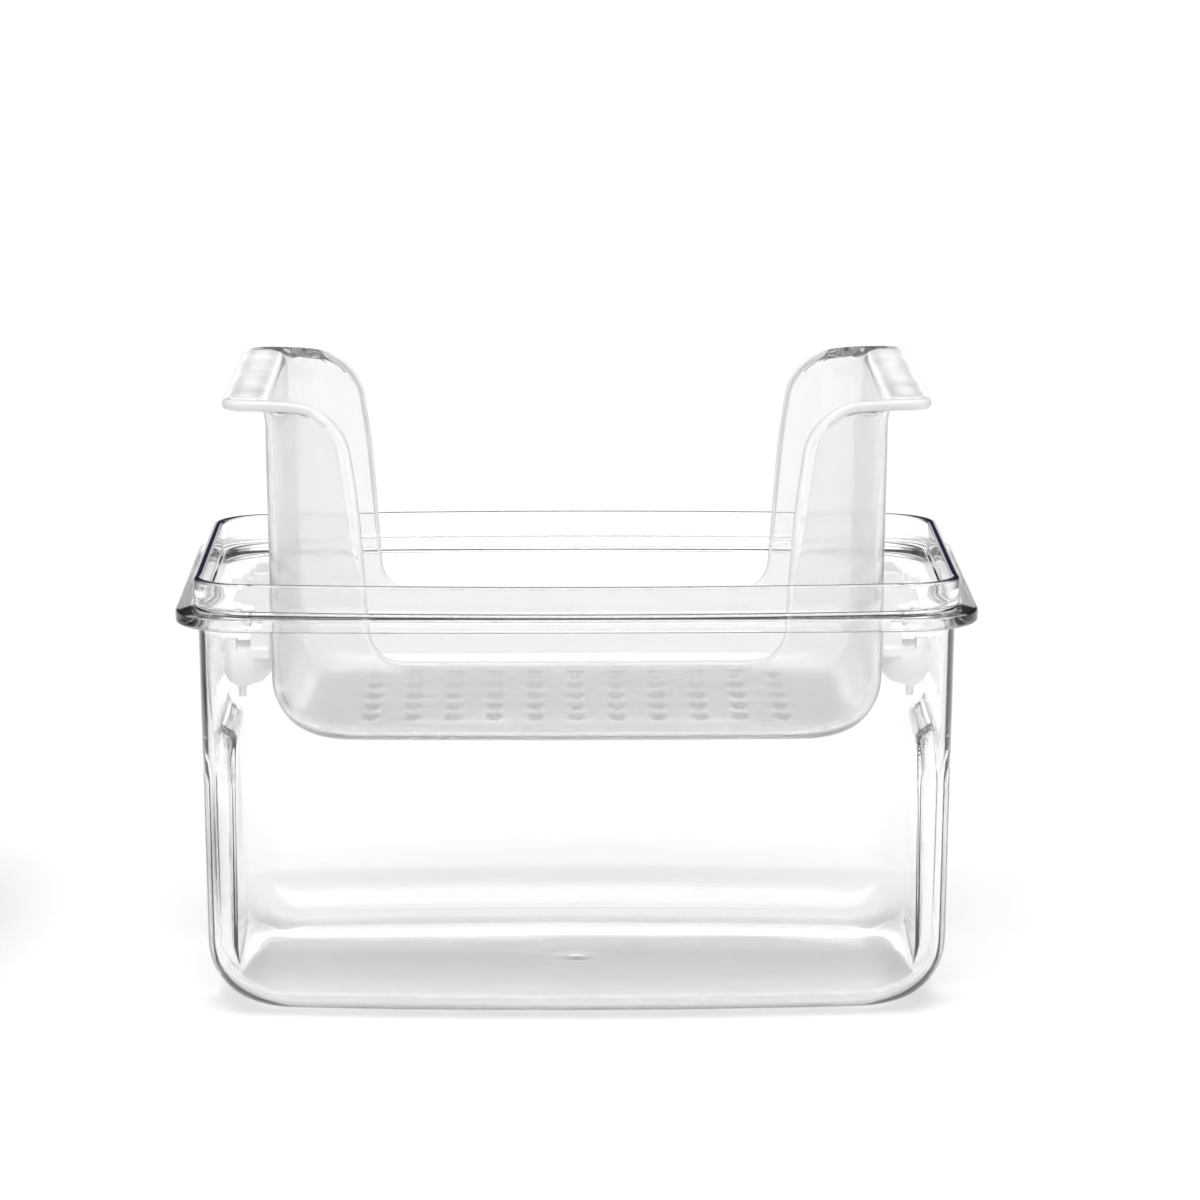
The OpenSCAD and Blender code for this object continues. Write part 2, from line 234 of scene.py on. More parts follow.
M = {
    "clear_plastic": clear_plastic(),
    "frosted_plastic": frosted_plastic(),
    "white_plastic": white_plastic(),
    "cover_plastic": cover_plastic(),
    "seal_rubber": rubber("seal_rubber", (0.60, 0.62, 0.63), (0.66, 0.68, 0.69)),
    "pad_rubber": rubber("pad_rubber", (0.085, 0.092, 0.096), (0.115, 0.122, 0.128)),
    "steel": steel(),
    "bush_plastic": bush_plastic(),
}
for part in frame["record"]["subparts"]:
    ob = frame["nodes"].get(part["node"])
    if ob is None:
        continue
    if not ob.material_slots:
        ob.data.materials.append(None)
    for s in ob.material_slots:
        s.material = M[part["material_slot"]]


# ------------------------------------------------------------------ mesh helpers, in millimetres
def make_object(name, verts, faces, material, body, replaced, rim_from=None, rim_material=None):
    me = bpy.data.meshes.new(name)
    me.from_pydata([(float(a) / 1000, float(b) / 1000, float(c) / 1000) for a, b, c in verts], [], [list(map(int, f)) for f in faces])
    if isinstance(rim_from, int):
        for f in me.polygons[rim_from:]:
            f.material_index = 1
    elif rim_from is not None:
        for f, k in zip(me.polygons, rim_from):
            f.material_index = k
    bm = bmesh.new()
    bm.from_mesh(me)
    bmesh.ops.remove_doubles(bm, verts=bm.verts, dist=2e-6)
    bmesh.ops.dissolve_degenerate(bm, edges=bm.edges, dist=1e-6)
    bmesh.ops.recalc_face_normals(bm, faces=bm.faces)
    open_edges = sum(1 for e in bm.edges if not e.is_manifold)
    bm.to_mesh(me)
    bm.free()
    for f in me.polygons:
        f.use_smooth = True
    me.materials.append(material)
    for extra in (rim_material if isinstance(rim_material, list) else [rim_material] if rim_material else []):
        me.materials.append(extra)
    ob = bpy.data.objects.new(name, me)
    scene.collection.objects.link(ob)
    print(name, len(me.vertices), "vertices,", open_edges, "edges not manifold")
    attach(ob, body)
    if replaced:
        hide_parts(*replaced)
    return ob


def corner(x, y, r, rs):
    cx = x - r
    cy = y - rs + math.sqrt((rs - r) ** 2 - cx ** 2)
    return cx, cy, math.atan2(cy - (y - rs), cx)


def smooth(t):
    t = np.clip(t, 0, 1)
    return t * t * (3 - 2 * t)


# ------------------------------------------------------------------ container
HX, HY, H = 92.0, 56.0, 107.6
FLANGE_LOW, FLANGE_TOP = 97.5, 100.5
WALL, FLOOR = 2.4, 2.8
SIDE_R, FLANGE_R = 700.0, 2500.0


def body_in(z):
    return 2.1 - 1.3 * (max(z, 17.0) - 17.0) / (FLANGE_LOW - 17.0)


def edge_in(r, z):
    return 0.0 if z >= r else r - math.sqrt(max(0.0, r * r - (r - z) ** 2))


END_Y = [0, 4, 8, 11, 13] + [14 + 0.9 * k for k in range(18)] + [31, 33.5]
N_CORNER, N_SIDE = 14, 16


def container_ring(x, y, r, rs, z):
    """One ring, anticlockwise from the middle of the right end wall."""
    cx, cy, a = corner(x, y, r, rs)
    top = 38.0
    q = [(x, v * cy / top) for v in END_Y]
    q += [(cx + r * math.cos(a * i / N_CORNER), cy + r * math.sin(a * i / N_CORNER)) for i in range(N_CORNER)]
    for i in range(N_SIDE):
        t = a + (math.pi / 2 - a) * i / N_SIDE
        q.append((rs * math.cos(t), y - rs + rs * math.sin(t)))
    q = np.array(q)
    n = len(q)
    ring = np.zeros((4 * n, 3))
    ring[0:n, :2] = q
    # second quadrant runs from the middle of the back to the left end
    back = np.vstack([[0.0, y], q[::-1][:-1]])
    ring[n:2 * n, 0], ring[n:2 * n, 1] = -back[:, 0], back[:, 1]
    ring[2 * n:3 * n, :2] = -q
    ring[3 * n:, 0], ring[3 * n:, 1] = back[:, 0], -back[:, 1]
    ring[:, 2] = z
    return ring


def recess(ring, plane, half, top, r):
    """Push the end walls in to a flat recess with soft edges."""
    y, z = np.abs(ring[:, 1]), ring[:, 2]
    qy = y - (half - r)
    qz = z - (top - r)
    sd = np.hypot(np.maximum(qy, 0), np.maximum(qz, 0)) + np.minimum(np.maximum(qy, qz), 0) - r
    s = smooth((0.5 - sd) / 3.2)
    over = np.maximum(np.abs(ring[:, 0]) - plane, 0)
    ring[:, 0] -= np.sign(ring[:, 0]) * over * s
    return ring


def gate(x, y):
    """The little moulding mark in the middle of the floor."""
    d = np.hypot(x, y)
    return 0.11 * np.exp(-(d / 2.6) ** 2) - 0.05 * np.exp(-((d - 5.4) / 1.4) ** 2)


def container_mesh():
    rings = []
    plane_out = HX - body_in(35) - 4.8
    # underside, from the middle out
    base = container_ring(HX - 2.1 - 17, HY - 2.1 - 17, 6, SIDE_R, 0)
    under = [base * np.array([f, f, 1]) for f in (0.02, 0.3, 0.6, 0.8, 0.92, 0.98)]
    rings += under
    # material index for each ring band; 1, 2 and 3 pick clear plastic with painted dark edge shade
    skin = {}

    def mark(start, kind):
        """Faces from ring start up to the last ring so far get material kind; kind 1, 2 and 3 pick clear plastic with
        painted edge shade.
        """
        for k in range(start, len(rings) - 1):
            skin[k] = kind

    # outer skin
    zs = [17 * (1 - math.cos(math.radians(90 * k / 16))) for k in range(17)]
    zs += [20, 24, 28, 32, 36, 40, 44, 47] + [49 + 0.95 * k for k in range(18)] + [67, 70, 75, 80, 85, 90, 94]
    for z in zs:
        i, k = edge_in(17, z), body_in(z)
        rings.append(recess(container_ring(HX - k - i, HY - k - i, max(6, 17 - i * 0.65), SIDE_R, z), plane_out, 27, 64, 12))
    # outer walls: painted shade where they turn edge on
    mark(6, 1)
    # under the flange, around it and up the collar

    def at(inset, z, r, rs=SIDE_R):
        rings.append(container_ring(HX - inset, HY - inset, r, rs, z))

    k = body_in(FLANGE_LOW)
    for a in (0, 22, 45, 68, 90):
        at(k - 1.2 * (1 - math.cos(math.radians(a))), 96.3 + 1.2 * math.sin(math.radians(a)), 17 - 2.5 * a / 90)
    first = len(rings)
    for a in (0, 22, 45, 68, 90):
        at(-3.35 - 0.75 * math.sin(math.radians(a)), 98.05 - 0.75 * math.cos(math.radians(a)), 17.1, FLANGE_R)
    # flange edge: near-black painted rim shade
    mark(first, 2)
    first = len(rings)
    for a in (0, 22, 45, 68, 90):
        at(-3.5 - 0.6 * math.cos(math.radians(a)), 100.0 + 0.6 * math.sin(math.radians(a)), 17.1, FLANGE_R)
    # flange top edge: painted dark step shade
    mark(first, 3)
    for a in (0, 30, 60, 90):
        at(-0.7 * (1 - math.sin(math.radians(a))), 101.2 - 0.7 * math.cos(math.radians(a)), 13.4)
    at(0, 103, 13)
    at(0, 105, 13)
    first = len(rings) - 1
    for a in (0, 22, 45, 68, 90):
        at(0.75 * (1 - math.cos(math.radians(a))), H - 0.75 * (1 - math.sin(math.radians(a))), 13)
    for a in (0, 22, 45, 68, 90):
        at(1.45 + 0.75 * math.sin(math.radians(a)), H - 0.75 * (1 - math.cos(math.radians(a))), 12.2)
    # collar top: near-black painted rim shade
    mark(first, 2)
    at(2.2, 104, 11.2)
    k = body_in(99) + WALL
    for a in (0, 30, 60, 90):
        at(2.2 + 0.35 * (1 - math.cos(math.radians(a))), 100.85 - 0.35 * math.sin(math.radians(a)), 11.4)
    for a in (0, 30, 60, 90):
        at(k - 0.5 * (1 - math.sin(math.radians(a))), 100.0 + 0.5 * math.cos(math.radians(a)), 13.3)
    at(body_in(97) + WALL, 97, 13.3)
    # inner skin
    zs = [94, 90, 85, 80, 75, 70, 68.5] + [67.4 - 0.95 * k for k in range(19)] + [48, 45, 42, 38, 34, 30, 26, 22]
    zs += [FLOOR + 14.6 * (1 - math.cos(math.radians(90 * k / 16))) for k in range(16, -1, -1)]
    for z in zs:
        i, k = edge_in(14.6, z - FLOOR), body_in(z) + WALL
        rings.append(recess(container_ring(HX - k - i, HY - k - i, max(5, 13.3 - i * 0.5), SIDE_R - WALL, z), plane_out - WALL, 29.4, 66.4, 14.4))
    last = rings[-1].copy()
    for f in (0.97, 0.9, 0.75, 0.55, 0.36, 0.24, 0.18, 0.145, 0.12, 0.1, 0.085, 0.07, 0.055, 0.045, 0.035, 0.025, 0.015, 0.006):
        # the rings turn into circles near the gate
        flat = last * np.array([f, f, 1])
        d = np.hypot(flat[:, 0], flat[:, 1])
        w = smooth((0.4 - f) / 0.2)
        r = np.hypot(flat[:, 0], flat[:, 1])
        target = 34 * f
        scale = (1 - w) + w * target / np.maximum(r, 1e-6)
        flat[:, 0] *= scale
        flat[:, 1] *= scale
        rings.append(flat)
    for r in rings[-18:]:
        r[:, 2] += gate(r[:, 0], r[:, 1])
    for r in rings[:6]:
        r[:, 2] += 0.0
    n = len(rings[0])
    verts = np.vstack(rings)
    faces, edge_shade_material_index = [], []
    for k in range(len(rings) - 1):
        for i in range(n):
            j = (i + 1) % n
            faces.append((k * n + i, k * n + j, (k + 1) * n + j, (k + 1) * n + i))
            edge_shade_material_index.append(skin.get(k, 0))
    c0, c1 = len(verts), len(verts) + 1
    verts = np.vstack([verts, [[0, 0, 0], [0, 0, FLOOR + float(gate(0.0, 0.0))]]])
    m = (len(rings) - 1) * n
    for i in range(n):
        j = (i + 1) % n
        faces.append((c0, j, i))
        faces.append((c1, m + i, m + j))
    return verts, faces, edge_shade_material_index + [0] * (2 * n)


v, f, edge_shade_material_index = container_mesh()
# the three extra materials paint dark shade on the wall edges, the flange and the collar top
container = make_object("container_clear", v, f, M["clear_plastic"], "container", ["container"], edge_shade_material_index,
                        [clear_with_painted_edge_shade("clear_side_painted_shade", 0.60, 0.95, (0.30, 0.30, 0.32), 0.5),
                         clear_with_painted_edge_shade("clear_rim_painted_shade", 0.30, 0.70, (0.0, 0.0, 0.01), 0.03),
                         clear_with_painted_edge_shade("clear_step_painted_shade", 0.55, 0.95, (0.10, 0.10, 0.13), 0.3)])


# ------------------------------------------------------------------ tray
TZ = 68.4
T_HALF = 0.95
N_E, N_Q, N_MID = 12, 34, 20
CUT_FLAT = 41.5


def tray_size(z):
    g = 1.2 * (max(z, 14.0) - 14.0) / 69.0
    ix = edge_in(14 - T_HALF, z - 1.0)
    iy = edge_in(5 - T_HALF, z - 1.0)
    return 73.4 + g - T_HALF - ix, 48.5 + g - T_HALF - iy, 12 - T_HALF - 0.3 * ix


def quarter_path(x, y, r, cut):
    """Points from the middle of the right end wall to x = cut on the front side, at +y; also how far round each is."""
    rs = 1400.0
    cx, cy, a = corner(x, y, r, rs)
    pts = [(x, cy * i / N_E, 0.0) for i in range(N_E)]
    if cut > cx + r * math.cos(a):
        length = r * math.acos(max(-1.0, min(1.0, (cut - cx) / r)))
    else:
        length = r * a + rs * (math.acos(cut / rs) - a)
    for i in range(N_Q + 1):
        # closer together near the cut edge, where the rim turns out
        d = length * (1 - (1 - i / N_Q) ** 1.4)
        if d <= r * a:
            pts.append((cx + r * math.cos(d / r), cy + r * math.sin(d / r), i / N_Q))
        else:
            t = a + (d - r * a) / rs
            pts.append((rs * math.cos(t), y - rs + rs * math.sin(t), i / N_Q))
    return np.array(pts)


def end_row(x, y, r, cut, z_end, z_cut):
    """One row round the right end, from the front cut edge to the back one."""
    q = quarter_path(x, y, r, cut)
    z = z_end + (z_cut - z_end) * smooth(q[:, 2])
    back = np.column_stack([q[:, 0], q[:, 1], z])
    front = back[::-1].copy()
    front[:, 1] *= -1
    return np.vstack([front, back[1:]])


def curve(points, n):
    """n points evenly along a smooth curve through points (Catmull-Rom spline)."""
    p = np.array(points, float)
    p = np.vstack([2 * p[0] - p[1], p, 2 * p[-1] - p[-2]])
    out = []
    for i in range(1, len(p) - 2):
        for t in np.linspace(0, 1, 24, endpoint=False):
            a, b, c, d = p[i - 1], p[i], p[i + 1], p[i + 2]
            out.append(0.5 * (2 * b + (c - a) * t + (2 * a - 5 * b + 4 * c - d) * t * t + (3 * b - a - 3 * c + d) * t ** 3))
    out.append(p[-2])
    out = np.array(out)
    s = np.concatenate([[0], np.cumsum(np.linalg.norm(np.diff(out, axis=0), axis=1))])
    u = np.linspace(0, s[-1], n)
    return np.column_stack([np.interp(u, s, out[:, k]) for k in range(out.shape[1])])


def tray_rows():
    """Rows of the upper part: (outline x, y, r, cut x, z at the end wall, z at the cut, half thickness)."""
    rows = []
    for k in range(1, 9):
        a = math.radians(90 * k / 8)
        x, z = CUT_FLAT + 8 * math.sin(a), 20 + 8 * (1 - math.cos(a))
        rows.append((x + T_HALF * math.sin(a), z - T_HALF * math.cos(a)))
    rows = [(x, max(z, 19.3)) for x, z in rows]
    edge = curve([(50.5, 28), (51.1, 36), (51.9, 46), (52.7, 55), (53.5, 62), (54.3, 67)], 14)[1:]
    rows += [tuple(p) for p in edge]
    out = []
    for x, z in rows:
        sx, sy, r = tray_size(z)
        out.append((sx, sy, r, x, z, z, T_HALF))
    # from here the rows turn out into the lip
    n = 26
    start = out[-1]
    cut = curve([(54.3, 67), (55.0, 71.4), (56.35, 74.6), (58.5, 77.4), (61.3, 79.5), (64.5, 80.9), (68.0, 81.4), (72.0, 81.65),
                 (75.6, 81.75), (78.85, 81.8)], n + 1)[1:]
    sx0, sy0, r0 = tray_size(67)
    end = curve([(sx0, 67), (sx0 + 0.06, 72.5), (sx0 + 0.12, 77.3), (sx0 + 0.5, 79.8), (sx0 + 1.5, 81.25), (sx0 + 2.9, 81.72),
                 (sx0 + 5.0, 81.8), (sx0 + 7.5, 81.8), (83.0, 81.8)], 241)
    # spend the rows where the section bends
    want = np.concatenate([np.linspace(0, 0.40, 7), np.linspace(0.42, 0.66, 12), np.linspace(0.69, 1.0, 8)])[:n + 1]
    end = np.column_stack([np.interp(want * 240, np.arange(241), end[:, k]) for k in range(2)])[1:]
    for k in range(n):
        t = (k + 1) / n
        s = float(smooth((t - 0.15) / 0.7))
        out.append((end[k][0], sy0 + 0.15 * t, r0 + (4.2 - r0) * s, cut[k][0], end[k][1], cut[k][1], T_HALF + 0.25 * s))
    return out


def tray_mid_surface():
    """Open skin half-way through the plastic. Returns vertices, faces, half thickness and the vertices on the slot
    rims.
    """
    verts, half = [], []
    faces = []

    def add(points, h=T_HALF):
        start = len(verts)
        for p in points:
            verts.append((float(p[0]), float(p[1]), float(p[2]) + TZ))
            half.append(h)
        return list(range(start, len(verts)))

    def full_ring(z):
        x, y, r = tray_size(z)
        right = end_row(x, y, r, CUT_FLAT if z > 1.01 else CUT_FLAT, z, z)
        left = right.copy()
        left[:, 0] *= -1
        left[:, 1] *= -1
        rs = 1400.0
        t = [math.acos(v / rs) for v in np.linspace(CUT_FLAT, -CUT_FLAT, N_MID + 1)]
        back = np.array([(rs * math.cos(a), y - rs + rs * math.sin(a), z) for a in t])[1:-1]
        front = back.copy()
        front[:, 0] *= -1
        front[:, 1] *= -1
        return np.vstack([right, back, left, front])

    zs = [1.0 + 4.05 * (1 - math.cos(math.radians(90 * k / 9))) for k in range(10)]
    zs += [5.9, 7.0, 8.3, 9.8, 11.6, 14.05, 16.5, 19.05]
    rings = [add(full_ring(z)) for z in zs]
    n = len(rings[0])
    for k in range(len(rings) - 1):
        for i in range(n):
            j = (i + 1) % n
            faces.append((rings[k][i], rings[k + 1][i], rings[k + 1][j], rings[k][j]))
    count = 2 * (N_E + N_Q) + 1
    mid = N_MID - 1
    starts = [0, count + mid]
    for side, first in enumerate(starts):
        previous = [rings[-1][(first + i) % n] for i in range(count)]
        for (x, y, r, cut, ze, zc, h) in tray_rows():
            pts = end_row(x, y, r, cut, ze, zc)
            if side:
                pts[:, 0] *= -1
                pts[:, 1] *= -1
            row = add(pts, h)
            for i in range(count - 1):
                faces.append((previous[i], row[i], row[i + 1], previous[i + 1]))
            previous = row
    # drained floor: tiles round the slots, then a skirt out to the first ring
    key = {}

    def floor_point(x, y):
        k = (round(x, 4), round(y, 4))
        if k not in key:
            key[k] = add([(x, y, 1.0)])[0]
        return key[k]

    slot_rim = set()
    a, b = 5.0, 6.5
    for i in range(-5, 6):
        for j in range(-2, 3):
            cx, cy = i * 10.0, j * 13.0
            border = [(a, v) for v in np.linspace(-b, b, 7)[:-1]] + [(v, b) for v in np.linspace(a, -a, 5)[:-1]]
            border += [(-p, -q) for p, q in border]
            m = len(border)
            hole = []
            for (px, py) in border:
                t = math.atan2(py / b, px / a)
                r = 1.35
                ux, uy = math.cos(t), math.sin(t)
                hx, hy = r * ux, r * uy + (2.4 * np.sign(uy) * min(1.0, abs(uy) * 1.6))
                hole.append((hx, hy))
            outer = [floor_point(cx + p, cy + q) for p, q in border]
            middle = add([(cx + hx + (p - hx) * 0.3, cy + hy + (q - hy) * 0.3, 1.0) for (p, q), (hx, hy) in zip(border, hole)])
            inner = add([(cx + hx, cy + hy, 1.0) for hx, hy in hole])
            slot_rim.update(inner)
            for k in range(m):
                l = (k + 1) % m
                faces.append((inner[k], middle[k], middle[l], inner[l]))
                faces.append((middle[k], outer[k], outer[l], middle[l]))
    lx, ly = 55.0, 32.5
    step_x, step_y = 2.5, 13.0 / 6
    loop = [(lx, v) for v in np.arange(-ly, ly - 0.01, step_y)] + [(v, ly) for v in np.arange(lx, -lx + 0.01, -step_x)]
    loop += [(-p, -q) for p, q in loop]
    inner = [floor_point(p, q) for p, q in loop]
    outer = rings[0]

    def angle(i, sx, sy):
        return math.atan2(verts[i][1] / sy, verts[i][0] / sx)

    ai = np.unwrap([angle(i, lx, ly) for i in inner])
    ao = np.unwrap([angle(i, 59.4, 43.5) for i in outer])
    s = int(np.argmin(np.abs(((ao - ai[0]) + math.pi) % (2 * math.pi) - math.pi)))
    outer = outer[s:] + outer[:s]
    ao = np.unwrap([angle(i, 59.4, 43.5) for i in outer])
    ao += 2 * math.pi * round((ai[0] - ao[0]) / (2 * math.pi))
    p = q = 0
    P, Q = len(inner), len(outer)
    while p < P or q < Q:
        next_p = ai[p + 1] if p + 1 < P else ai[0] + 2 * math.pi
        next_q = ao[q + 1] if q + 1 < Q else ao[0] + 2 * math.pi
        if q >= Q or (p < P and next_p <= next_q):
            faces.append((inner[p % P], outer[q % Q], inner[(p + 1) % P]))
            p += 1
        else:
            faces.append((inner[p % P], outer[q % Q], outer[(q + 1) % Q]))
            q += 1
    return np.array(verts), faces, np.array(half), slot_rim


def shell(verts, faces, half, slot_rim, steps=6):
    """Gives an open skin its thickness, with rounded rims."""
    normal = np.zeros_like(verts)
    for f in faces:
        p = verts[list(f)]
        if len(f) == 4:
            nrm = np.cross(p[2] - p[0], p[3] - p[1])
        else:
            nrm = np.cross(p[1] - p[0], p[2] - p[0])
        for i in f:
            normal[i] += nrm
    normal /= np.maximum(np.linalg.norm(normal, axis=1, keepdims=True), 1e-12)
    n = len(verts)
    top = verts + normal * half[:, None]
    low = verts - normal * half[:, None]
    out = list(top) + list(low)
    new_faces = [tuple(f) for f in faces] + [tuple(n + i for i in reversed(f)) for f in faces]
    directed = {}
    for f in faces:
        for a, b in zip(f, f[1:] + f[:1]):
            directed[(a, b)] = True
    after, before = {}, {}
    for (a, b) in directed:
        if (b, a) not in directed:
            after[a] = b
            before[b] = a
    rim = {}
    for a in after:
        along = verts[after[a]] - verts[before.get(a, a)]
        away = np.cross(along, normal[a])
        away /= max(np.linalg.norm(away), 1e-12)
        h = half[a]
        reach = 0.35 if a in slot_rim else h
        ids = [a]
        for k in range(1, steps):
            t = math.pi * k / steps
            out.append(verts[a] + normal[a] * h * math.cos(t) + away * reach * math.sin(t))
            ids.append(len(out) - 1)
        ids.append(n + a)
        rim[a] = ids
    rim_from = None
    for a, b in sorted(after.items(), key=lambda e: e[0] not in slot_rim):
        if a not in slot_rim and rim_from is None:
            rim_from = len(new_faces)
        for k in range(steps):
            new_faces.append((rim[a][k], rim[a][k + 1], rim[b][k + 1], rim[b][k]))
    return np.array(out), new_faces, rim_from


def turned_rim(verts, faces, half, slot_rim):
    """Turns the cut edges out a little, like the stiffening rim round the cut-outs and lips."""
    edges = {}
    for f in faces:
        for a, b in zip(f, f[1:] + f[:1]):
            edges[(a, b)] = True
    rim = np.array(sorted({a for (a, b) in edges if (b, a) not in edges} - slot_rim))
    points = verts[rim]
    near = np.array([np.min(np.linalg.norm(points - v, axis=1)) for v in verts])
    z = verts[:, 2] - TZ
    part = np.clip(1 - near / 3.2, 0, 1) ** 2 * smooth((z - 22) / 40)
    verts = verts.copy()
    verts[:, 1] += np.sign(verts[:, 1]) * 0.95 * part
    half = half + 0.2 * part
    return verts, half


mv, mf, mh, rims = tray_mid_surface()
mv, mh = turned_rim(mv, mf, mh, rims)
v, f, rim_from = shell(mv, mf, mh, rims)
v = np.array(v)
v[:, 2] -= 0.22 * smooth((v[:, 2] - TZ - 70) / 11)
tray = make_object("tray_frosted", v, f, M["frosted_plastic"], "tray", ["tray"], rim_from, frosted_rim())


# ------------------------------------------------------------------ catches
def catch_mesh(side):
    """The moulding built from overlapping solids, skinned over and softened like a moulded piece."""
    bm = bmesh.new()

    def block(x0, y0, z0, x1, y1, z1):
        made = bmesh.ops.create_cube(bm, size=1.0)["verts"]
        for q in made:
            q.co = Vector((x0 + (q.co.x + 0.5) * (x1 - x0), y0 + (q.co.y + 0.5) * (y1 - y0), z0 + (q.co.z + 0.5) * (z1 - z0)))

    def clipped(made, planes):
        geom = list({q for q in made} | {e for q in made for e in q.link_edges} | {g for q in made for g in q.link_faces})
        for co, no in planes:
            cut = bmesh.ops.bisect_plane(bm, geom=geom, plane_co=co, plane_no=no, clear_outer=True)
            edges = [e for e in cut["geom_cut"] if isinstance(e, bmesh.types.BMEdge)]
            filled = bmesh.ops.edgeloop_fill(bm, edges=edges)["faces"] if edges else []
            geom = [g for g in cut["geom"] if g.is_valid] + list(filled)
            vs = {q for g in geom if isinstance(g, bmesh.types.BMVert) for q in [g]} | {q for g in filled for q in g.verts}
            geom = list(vs | {e for q in vs for e in q.link_edges} | {g for q in vs for g in q.link_faces})
        return geom

    inner, mid = 75.3, 82.0
    wall_x = HX - body_in(80) - WALL - 0.02
    # outer part of the bowl, up to 86.4, and inner part, up to 83.2
    for x0, x1, z1 in ((inner, 84.1, 83.2), (83.6, wall_x, 86.4)):
        ball = bmesh.ops.create_uvsphere(bm, u_segments=72, v_segments=48, radius=7.6)["verts"]
        for q in ball:
            q.co += Vector((mid, 0, 80.6))
        clipped(ball, [(Vector((x0, 0, 0)), Vector((-1, 0, 0))), (Vector((x1, 0, 0)), Vector((1, 0, 0))), (Vector((0, 0, z1)), Vector((0, 0, 1)))])
    disc = bmesh.ops.create_cone(bm, cap_ends=True, segments=72, radius1=8, radius2=8, depth=2.5)["verts"]
    for q in disc:
        q.co += Vector((mid - 5.8, 0, 82.65))
    clipped(disc, [(Vector((inner, 0, 0)), Vector((-1, 0, 0)))])
    foot = bmesh.ops.create_cone(bm, cap_ends=True, segments=32, radius1=1.25, radius2=1.45, depth=4)["verts"]
    for q in foot:
        q.co += Vector((mid, 0, 72.5))
    block(mid, -5, 78.4, wall_x, 5, 82.4)
    block(inner, -7, 82.5, 79.4, 7, 102.6)
    block(inner, -7, 93, 80.9, 7, 101.3)
    block(inner, -7, 94, 82.5, 7, 100)
    block(inner, -7, 95, 85.5, 7, 98.8)
    for q in bm.verts:
        q.co = q.co * 0.001 * (1 if side > 0 else -1)
        if side < 0:
            q.co.z *= -1
    bmesh.ops.recalc_face_normals(bm, faces=bm.faces)
    me = bpy.data.meshes.new("catch_base")
    bm.to_mesh(me)
    bm.free()
    ob = bpy.data.objects.new("catch_base", me)
    scene.collection.objects.link(ob)
    r = ob.modifiers.new("skin", "REMESH")
    r.mode = "VOXEL"
    r.voxel_size = 0.00026
    sm = ob.modifiers.new("soft", "SMOOTH")
    sm.factor, sm.iterations = 0.5, 5
    deps = bpy.context.evaluated_depsgraph_get()
    done = bpy.data.meshes.new_from_object(ob.evaluated_get(deps))
    bpy.data.objects.remove(ob)
    co = np.zeros(len(done.vertices) * 3)
    done.vertices.foreach_get("co", co)
    faces = [tuple(p.vertices) for p in done.polygons]
    return co.reshape(-1, 3) * 1000, faces


for name, side in (("left", -1), ("right", 1)):
    v, f = catch_mesh(side)
    make_object("catch_" + name + "_moulding", v, f, M["white_plastic"], "container", ["catch_" + name])


# ------------------------------------------------------------------ press springs
def spring_mesh(cx, cy):
    turns, per, sides = 8, 40, 12
    z0, z1, r, w = 10.9, 63.1, 9.0, 0.8
    n = turns * per
    verts, faces = [], []
    for k in range(n + 1):
        t = k / n
        u = min(max((t * turns - 0.9) / (turns - 1.8), 0), 1)
        u = u + 0.02 * math.sin(2 * math.pi * u)
        z = z0 + min(t * turns, 0.9) * 1.7 + max(t * turns - (turns - 0.9), 0) * 1.7 + u * (z1 - z0 - 2 * 0.9 * 1.7)
        a = 2 * math.pi * turns * t
        for j in range(sides):
            b = 2 * math.pi * j / sides
            rr = r + w * math.cos(b)
            verts.append((cx + rr * math.cos(a), cy + rr * math.sin(a), z + w * math.sin(b)))
    for k in range(n):
        for j in range(sides):
            l = (j + 1) % sides
            faces.append((k * sides + j, (k + 1) * sides + j, (k + 1) * sides + l, k * sides + l))
    faces.append(tuple(range(sides)))
    faces.append(tuple(n * sides + j for j in reversed(range(sides))))
    return verts, faces


for name, sy in (("left", -1), ("right", 1)):
    v, f = spring_mesh(-226.0, sy * 36.0)
    ob = make_object("press_spring_" + name + "_wire", v, f, M["steel"], "press_base", ["press_spring_" + name])
    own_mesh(ob)


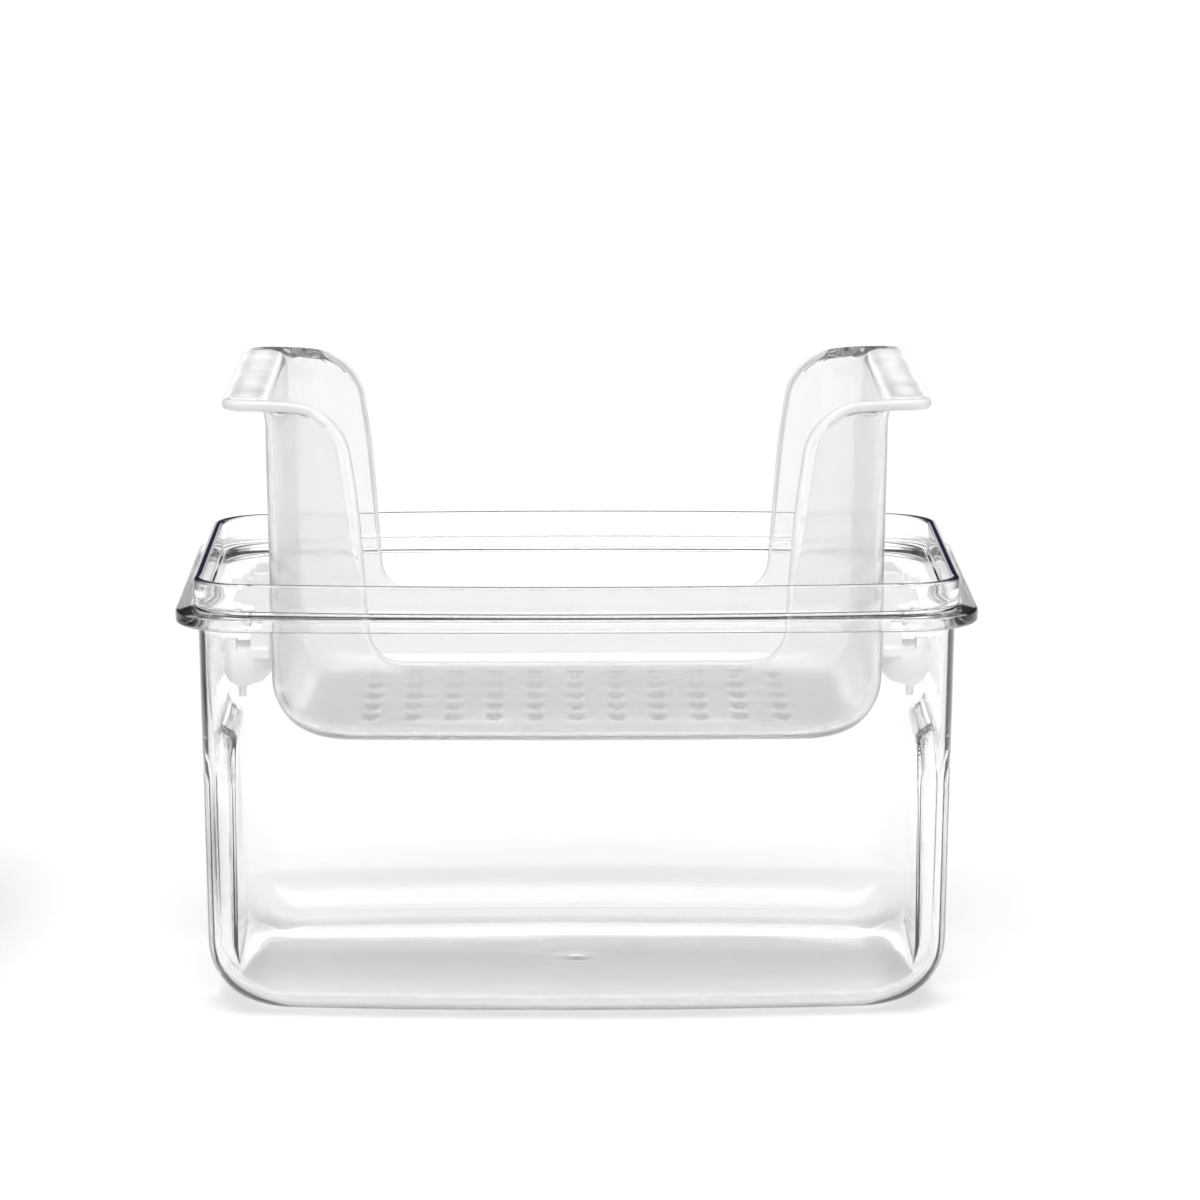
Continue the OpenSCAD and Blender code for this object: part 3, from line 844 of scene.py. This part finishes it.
# ------------------------------------------------------------------ floor and light
def stage():
    me = bpy.data.meshes.new("floor")
    s = 12.0
    me.from_pydata([(-s, -s, 0), (s, -s, 0), (s, s, 0), (-s, s, 0)], [], [(0, 1, 2, 3)])
    ob = bpy.data.objects.new("floor", me)
    ob.location.z = -0.0001
    scene.collection.objects.link(ob)
    m, nt, p = new_material("floor")
    two_colour_mix(nt, p, to_range(nt, noise(nt, 2.0, 2), 0, 1), (0.90, 0.90, 0.90), (0.91, 0.91, 0.91))
    p.inputs["Roughness"].default_value = 0.8
    p.inputs["Specular IOR Level"].default_value = 0.1
    me.materials.append(m)

    w = bpy.data.worlds.new("studio")
    scene.world = w
    w.use_nodes = True
    nt = w.node_tree
    nt.nodes.clear()
    out = nt.nodes.new("ShaderNodeOutputWorld")
    bg = nt.nodes.new("ShaderNodeBackground")
    nt.links.new(bg.outputs[0], out.inputs["Surface"])
    tc = nt.nodes.new("ShaderNodeTexCoord")
    sep = nt.nodes.new("ShaderNodeSeparateXYZ")
    nt.links.new(tc.outputs["Generated"], sep.inputs[0])
    x, y, z = sep.outputs["X"], sep.outputs["Y"], sep.outputs["Z"]

    def maths(kind, a, b=None):
        n = nt.nodes.new("ShaderNodeMath")
        n.operation = kind
        for k, v in enumerate((a, b)):
            if v is None:
                continue
            if isinstance(v, (int, float)):
                n.inputs[k].default_value = v
            else:
                nt.links.new(v, n.inputs[k])
        return n.outputs[0]

    def ease(v, start, end):
        """0 at start, 1 at end, soft in between."""
        n = nt.nodes.new("ShaderNodeMapRange")
        n.interpolation_type = "SMOOTHSTEP"
        n.inputs["From Min"].default_value = start
        n.inputs["From Max"].default_value = end
        nt.links.new(v, n.inputs["Value"])
        return n.outputs["Result"]

    def times(a, *more):
        for b in more:
            a = maths("MULTIPLY", a, b)
        return a

    ax = maths("ABSOLUTE", x)
    front = ease(maths("SUBTRACT", maths("MULTIPLY", y, -1.0), maths("MULTIPLY", ax, 0.85)), -0.08, 0.16)
    light = [
        times(ease(z, 0.15, 0.06), ease(ax, 0.92, 0.55), 0.60),                       # pale room round the horizon,
        times(ease(z, 0.15, 0.06), 0.34),                                             # dimmer to the sides
        times(front, ease(z, 0.48, 0.62), 3.05),                                      # big soft box high in front
        times(ease(z, 0.68, 0.84), 1.38),                                             # overhead
        times(ease(y, 0.80, 0.93), ease(z, 0.05, 0.12), ease(z, 0.163, 0.150), 1.3),  # low screen behind
    ]
    total = 0.06
    for part in light:
        total = maths("ADD", part, total)
    nt.links.new(total, bg.inputs["Strength"])
    bg.inputs["Color"].default_value = (1, 1, 1, 1)


stage()
# light keeps its strength on its way through the clear walls
scene.cycles.blur_glossy = 0
scene.cycles.max_bounces = 24
scene.cycles.transmission_bounces = 24
scene.cycles.glossy_bounces = 12
scene.view_settings.view_transform = "Standard"
scene.view_settings.look = "None"
scene.view_settings.exposure = 0
scene.view_settings.gamma = 1
